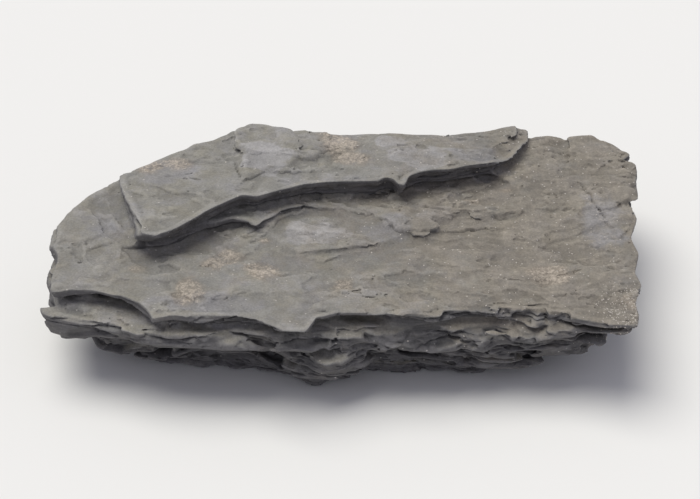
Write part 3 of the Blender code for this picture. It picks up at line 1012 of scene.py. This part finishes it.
def scatter_tree():
    """Geometry Nodes: irregular bits scattered over a surface, more where a field is high."""
    tree = bpy.data.node_groups.new("shale_scatter", "GeometryNodeTree")
    for name, kind in (
        ("Surface", "Geometry"), ("Density", "Float"), ("Field", "String"), ("Size", "Float"),
        ("Least", "Float"), ("Flatness", "Float"), ("Sink", "Float"), ("Jag", "Float"),
        ("Detail", "Int"), ("Seed", "Int"), ("Material", "Material"),
    ):
        opening(tree, name, kind)
    opening(tree, "Bits", "Geometry", "OUTPUT")
    t = Tree(tree)
    given = t.node("NodeGroupInput").outputs
    field = t.node(
        "GeometryNodeInputNamedAttribute", (("Name", given["Field"]),), data_type="FLOAT")
    density = t.times(given["Density"], field.outputs["Attribute"])
    points = t.node("GeometryNodeDistributePointsOnFaces", (
        ("Mesh", given["Surface"]), ("Density", density), ("Seed", given["Seed"]))).outputs
    bit = t.node("GeometryNodeMeshIcoSphere", (("Radius", 0.5), ("Subdivisions", given["Detail"])))
    sunk = t.node("GeometryNodeTransform", (
        ("Geometry", bit.outputs[0]), ("Translation", t.parts(0, 0, given["Sink"])),
        ("Scale", t.parts(1.0, 0.7, given["Flatness"]))))
    size = t.node("FunctionNodeRandomValue", (
        (2, given["Least"]), (3, 1.0), ("Seed", given["Seed"])), data_type="FLOAT").outputs[1]
    size = t.times(t.math("POWER", size, 2.0), given["Size"])
    turn = t.node("FunctionNodeRandomValue", (
        (0, (-0.4, -0.4, 0.0)), (1, (0.4, 0.4, 6.283)), ("Seed", given["Seed"])),
        data_type="FLOAT_VECTOR").outputs[0]
    turned = t.node("FunctionNodeRotateRotation", (
        ("Rotation", points["Rotation"]), ("Rotate By", turn)), rotation_space="LOCAL")
    laid = t.node("GeometryNodeInstanceOnPoints", (
        ("Points", points["Points"]), ("Instance", sunk.outputs[0]),
        ("Rotation", turned.outputs[0]), ("Scale", size)))
    real = t.node("GeometryNodeRealizeInstances", (("Geometry", laid.outputs[0]),))
    place = t.vector(
        "MULTIPLY", t.node("GeometryNodeInputPosition").outputs[0], (900.0,) * 3)
    push = t.node("ShaderNodeTexNoise", (("Vector", place), ("Scale", 1.0), ("Detail", 1.0)))
    centred = t.vector("SUBTRACT", push.outputs["Color"], (0.5,) * 3)
    moved = t.node("ShaderNodeVectorMath", ((0, centred),), operation="SCALE")
    t.feed(moved.inputs["Scale"], t.times(given["Jag"], given["Size"]))
    rough = t.node("GeometryNodeSetPosition", (
        ("Geometry", real.outputs[0]), ("Offset", moved.outputs[0])))
    coated = t.node("GeometryNodeSetMaterial", (
        ("Geometry", rough.outputs[0]), ("Material", given["Material"])))
    t.feed(t.node("NodeGroupOutput").inputs[0], coated.outputs[0])


def scattered(name, finish, **inputs):
    """A piece of bits scattered over the stone."""
    if "shale_scatter" not in bpy.data.node_groups:
        scatter_tree()
    tree = bpy.data.node_groups["shale_scatter"]
    keys = {item.name: item.identifier for item in tree.interface.items_tree}
    piece = modelled(bpy.data.objects["shale_stone"].data, name)
    scatter = piece.modifiers.new("Scatter", "NODES")
    scatter.node_group = tree
    for key, value in {**inputs, "Detail": 1, "Material": finishes()[finish]}.items():
        scatter[keys[key]] = value
    flattened(piece)
    set_coordinates(piece.data, listed(piece.data.vertices))
    finish_piece(piece)


# ---- Operators ----


class SHALE_OT_stone(Operator):
    """Carves the stone out of its solid"""

    bl_idname = "shale.stone"
    bl_label = "Carve the stone"

    def execute(self, context):
        settings = context.scene.shale_stone
        carving = Carving(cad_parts[NODE], settings.cell, settings.stretch)
        whole = softened(carving.distance, 4)
        carve(carving, settings)
        stone = modelled(carving.mesh("shale_stone"), "shale_stone")
        largest_part(stone.data)
        thinned(stone, settings.triangles)
        points = listed(stone.data.vertices) / (1, 1, settings.stretch)
        set_coordinates(stone.data, points * MM)
        self.paint_fields(stone.data, carving, whole, points)
        stone.data.set_sharp_from_angle(angle=math.radians(32))
        stone.data.materials.append(finishes()["shale_stone"])
        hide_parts(NODE)
        finish_piece(stone)
        return {"FINISHED"}

    @staticmethod
    def paint_fields(mesh, carving, whole, points):
        """Writes what the finishes read: wall, the painted shade of recesses and painted highlight
        of rims, bed height, dust, stains and grit.
        """
        up = listed(mesh.vertex_normals, "vector")[:, 2]
        slope = np.gradient(whole)
        up_broad = carving.sample(slope[2] / steepness(slope), points)
        # Steep and downward faces count as wall and get the darker fresh-break colour, partly as
        # painted shade.
        wall = 1 - ramp(0.5 * up + 0.5 * up_broad, 0.25, 0.8)
        x, y, z = points.T
        plan = PlanNoise(carving, 3)
        column = tuple(
            np.clip(((place - axis[0]) / carving.cell).astype(int), 0, len(axis) - 1)
            for place, axis in ((x, carving.x), (y, carving.y))
        )
        ragged = 0.3 * plan.rough(8, 4, 0.7)[column]
        right = ramp(x + 0.25 * y, -25, 45)
        raised = ramp(z, 29, 31)
        top = 1 - wall
        corner = 1 - ramp(np.hypot(x - CRUMBLY[0], y - CRUMBLY[1]), 4, 13)
        gritty = np.clip(0.12 + 0.5 * right + corner, 0, 1)
        dust = np.clip(0.38 + 0.5 * right - 0.3 * raised, 0, 1) * (0.3 + 0.7 * top)
        chips = (0.03 + 0.4 * wall * (z > 1.5)) * (0.3 + 0.7 * gritty) + 6 * corner
        for name, values in (
            ("wall", wall),
            # A smoothed distance to the surface: below zero in recesses, which the finish darkens
            # as painted shade, above zero on rims, which it lightens as a painted highlight.
            ("hollow", carving.sample(softened(carving.distance, 2), points)),
            ("laid", carving.sample(carving.laid, points)),
            ("dust", dust),
            ("ochre", blots(points, OCHRE_STAINS, ragged) * top),
            ("pale", blots(points, PALE_PATCHES, ragged) * top),
            ("cool", 0.7 * blots(points, COOL_PATCHES, ragged) * top),
            ("gritty", gritty),
            ("chips", chips),
            ("grains", (0.1 + top) * gritty**1.5 + 16 * corner),
        ):
            field = mesh.attributes.new(name, "FLOAT", "POINT")
            field.data.foreach_set("value", np.ascontiguousarray(values, np.float32))


class SHALE_OT_chips(Operator):
    """Scatters broken chips over the edges of the beds"""

    bl_idname = "shale.chips"
    bl_label = "Scatter the chips"

    def execute(self, context):
        loose = context.scene.shale_loose
        scattered(
            "shale_chips", "shale_stone", Field="chips", Density=loose.chips / CM**2,
            Size=loose.chip_size, Least=0.35, Flatness=0.35, Sink=-0.08, Jag=0.35, Seed=loose.seed)
        return {"FINISHED"}


class SHALE_OT_grains(Operator):
    """Scatters pale mineral grains over the stone"""

    bl_idname = "shale.grains"
    bl_label = "Scatter the grains"

    def execute(self, context):
        loose = context.scene.shale_loose
        scattered(
            "shale_grains", "shale_grains", Field="grains", Density=loose.grains / CM**2,
            Size=loose.grain_size, Least=0.5, Flatness=0.5, Sink=-0.1, Jag=0.3,
            Seed=loose.seed + 1)
        return {"FINISHED"}


class SHALE_OT_stage(Operator):
    """Adds the floor, the light and the camera"""

    bl_idname = "shale.stage"
    bl_label = "Set the stage"

    def execute(self, context):
        settings = context.scene.shale_stage
        scene = context.scene
        bpy.ops.mesh.primitive_plane_add(size=FLOOR_SIZE)
        floor = context.object
        floor.name = "floor"
        finish = bpy.data.materials.new("floor")
        finish.use_nodes = True
        shader = finish.node_tree.nodes["Principled BSDF"]
        shader.inputs["Base Color"].default_value = (*settings.floor, 1)
        shader.inputs["Roughness"].default_value = 0.95
        shader.inputs["Specular IOR Level"].default_value = 0.1
        floor.data.materials.append(finish)

        scene.world = bpy.data.worlds.new("sky")
        scene.world.use_nodes = True
        sky = scene.world.node_tree.nodes["Background"]
        sky.inputs["Color"].default_value = SKY_COLOUR
        sky.inputs["Strength"].default_value = settings.sky

        lamp = bpy.data.lights.new("broad light", "SUN")
        lamp.energy = settings.sun
        lamp.angle = settings.spread
        lamp.color = LAMP_COLOUR
        light = bpy.data.objects.new("broad light", lamp)
        light.location = LIGHT_FROM
        light.rotation_euler = (-light.location).to_track_quat("-Z", "Y").to_euler()
        scene.collection.objects.link(light)

        lens = bpy.data.cameras.new("camera")
        lens.lens = settings.lens
        lens.sensor_width = 36
        lens.shift_x, lens.shift_y = (pixels / PICTURE_WIDTH for pixels in VIEW_SHIFT)
        camera = bpy.data.objects.new("camera", lens)
        back = Vector((0, -math.cos(settings.elevation), math.sin(settings.elevation)))
        camera.location = Vector(VIEW_CENTRE) + back * settings.distance
        camera.rotation_euler = (-back).to_track_quat("-Z", "Y").to_euler()
        scene.collection.objects.link(camera)
        scene.camera = camera
        scene.view_settings.view_transform = "Standard"
        return {"FINISHED"}


class SHALE_PT_panel(Panel):
    """The slab's pieces and their settings"""

    bl_idname = "SHALE_PT_panel"
    bl_label = "Shale slab"
    bl_space_type = "VIEW_3D"
    bl_region_type = "UI"
    bl_category = "Shale"

    def draw(self, context):
        for operator, groups in STEPS:
            self.layout.operator(operator)
            for group in groups:
                settings = getattr(context.scene, group)
                for name in GROUPS[group].__annotations__:
                    self.layout.prop(settings, name)


GROUPS = {
    "shale_stone": StoneSettings,
    "shale_colours": ColourSettings,
    "shale_loose": LooseSettings,
    "shale_stage": StageSettings,
}
STEPS = (
    ("shale.stone", ("shale_stone", "shale_colours")),
    ("shale.chips", ("shale_loose",)),
    ("shale.grains", ()),
    ("shale.stage", ("shale_stage",)),
)
CLASSES = (
    *GROUPS.values(), SHALE_OT_stone, SHALE_OT_chips, SHALE_OT_grains, SHALE_OT_stage,
    SHALE_PT_panel,
)


def register():
    for cls in CLASSES:
        bpy.utils.register_class(cls)
    for name, group in GROUPS.items():
        setattr(bpy.types.Scene, name, PointerProperty(type=group))


def unregister():
    for name in GROUPS:
        delattr(bpy.types.Scene, name)
    for cls in reversed(CLASSES):
        bpy.utils.unregister_class(cls)


def main():
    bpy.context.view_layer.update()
    register()
    bpy.ops.shale.stone()
    bpy.ops.shale.chips()
    bpy.ops.shale.grains()
    bpy.ops.shale.stage()
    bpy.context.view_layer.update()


if __name__ == "__main__":
    main()
